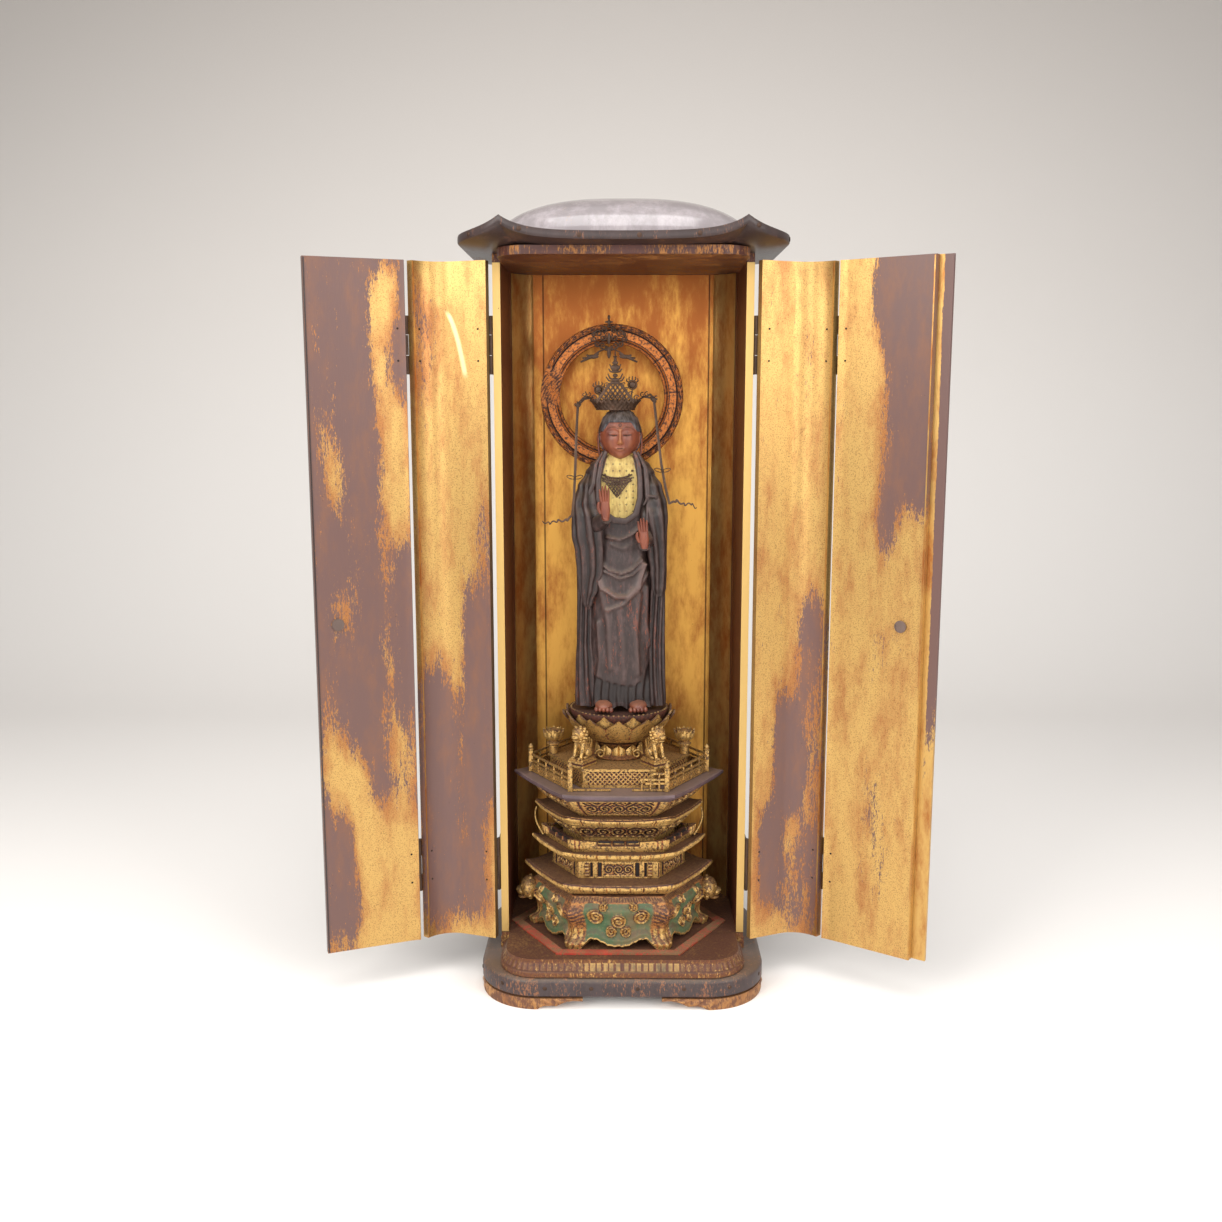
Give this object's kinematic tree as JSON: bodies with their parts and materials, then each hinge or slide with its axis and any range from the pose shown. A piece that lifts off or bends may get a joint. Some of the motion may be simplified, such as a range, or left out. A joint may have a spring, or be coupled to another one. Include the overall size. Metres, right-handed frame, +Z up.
{
  "type": "shrine cabinet",
  "caption": "Standing cabinet with curved folding doors, holding a robed figure with crown and halo on a tiered lotus pedestal.",
  "frame": {"origin": "centre of the base at floor level", "axes": "+Z up, +Y towards the back, +X to a viewer's right"},
  "size_m": [0.6046, 0.252, 0.7911],
  "materials": {
    "dark_lacquer": "worn satin lacquer over wood",
    "gilt_lacquer": "worn gold leaf over lacquered wood",
    "carved_gilding": "dusty gold leaf over carved wood",
    "red_lacquer": "satin red lacquer over wood",
    "pale_lacquer": "glossy lacquer that has gone pale",
    "brown_lacquer": "worn brown lacquer over wood",
    "old_carved_wood": "dark carved wood with rests of red colour",
    "dark_bronze": "dull dark bronze",
    "gilt_copper": "rubbed gilt copper"
  },
  "bodies": {
    "cabinet": {"base_slab": "dark_lacquer", "case_wall": "gilt_lacquer", "crown": "dark_bronze", "dais": "brown_lacquer", "eave": "dark_lacquer", "figure": "old_carved_wood", "floor_frame": "red_lacquer", "foot_back_left": "carved_gilding", "foot_back_right": "carved_gilding", "foot_front_left": "carved_gilding", "foot_front_right": "carved_gilding", "halo_ornament": "dark_bronze", "halo_pole": "dark_bronze", "halo_ring": "gilt_copper", "hinge_left_lower_case": "dark_bronze", "hinge_left_upper_case": "dark_bronze", "hinge_right_lower_case": "dark_bronze", "hinge_right_upper_case": "dark_bronze", "lintel_board": "dark_lacquer", "lion_left": "carved_gilding", "lion_right": "carved_gilding", "lotus_bowl": "carved_gilding", "lotus_cup_left": "carved_gilding", "lotus_cup_right": "carved_gilding", "lotus_stem": "carved_gilding", "necklace": "dark_bronze", "pedestal_bowl_drum": "carved_gilding", "pedestal_foot_slab": "carved_gilding", "pedestal_gallery": "carved_gilding", "pedestal_middle_slab": "carved_gilding", "pedestal_scroll_band": "carved_gilding", "pedestal_skirt": "carved_gilding", "pedestal_upper_slab": "carved_gilding", "pedestal_waist": "carved_gilding", "roof_dome": "pale_lacquer", "streamer_left": "dark_bronze", "streamer_right": "dark_bronze", "terrace": "brown_lacquer", "terrace_railing": "carved_gilding", "upper_drum": "carved_gilding"},
    "left_inner": {"hinge_left_lower_inner_far": "dark_bronze", "hinge_left_lower_inner_near": "dark_bronze", "hinge_left_upper_inner_far": "dark_bronze", "hinge_left_upper_inner_near": "dark_bronze", "inner_door_left": "gilt_lacquer"},
    "left_outer": {"door_plug_left": "dark_bronze", "hinge_left_lower_outer": "dark_bronze", "hinge_left_upper_outer": "dark_bronze", "outer_door_left": "gilt_lacquer"},
    "right_inner": {"hinge_right_lower_inner_far": "dark_bronze", "hinge_right_lower_inner_near": "dark_bronze", "hinge_right_upper_inner_far": "dark_bronze", "hinge_right_upper_inner_near": "dark_bronze", "inner_door_right": "gilt_lacquer"},
    "right_outer": {"door_plug_right": "dark_bronze", "hinge_right_lower_outer": "dark_bronze", "hinge_right_upper_outer": "dark_bronze", "lock_plate": "dark_bronze", "meeting_strip": "dark_lacquer", "outer_door_right": "gilt_lacquer"}
  },
  "joints": [
    {"name": "left_case_hinge", "type": "hinge", "parent": "cabinet", "child": "left_inner", "pos_m": [-0.1286, -0.0366, 0.388], "axis": [0, 0, 1], "range_deg": [-50, 108.7]},
    {"name": "left_fold_hinge", "type": "hinge", "parent": "left_inner", "child": "left_outer", "pos_m": [-0.20987, -0.04057, 0.388], "axis": [0, 0, 1], "range_deg": [-45, 49.1]},
    {"name": "right_case_hinge", "type": "hinge", "parent": "cabinet", "child": "right_inner", "pos_m": [0.1286, -0.0366, 0.388], "axis": [0, 0, 1], "range_deg": [-114.1, 50]},
    {"name": "right_fold_hinge", "type": "hinge", "parent": "right_inner", "child": "right_outer", "pos_m": [0.20988, -0.0329, 0.388], "axis": [0, 0, 1], "range_deg": [-31.2, 45]}
  ]
}
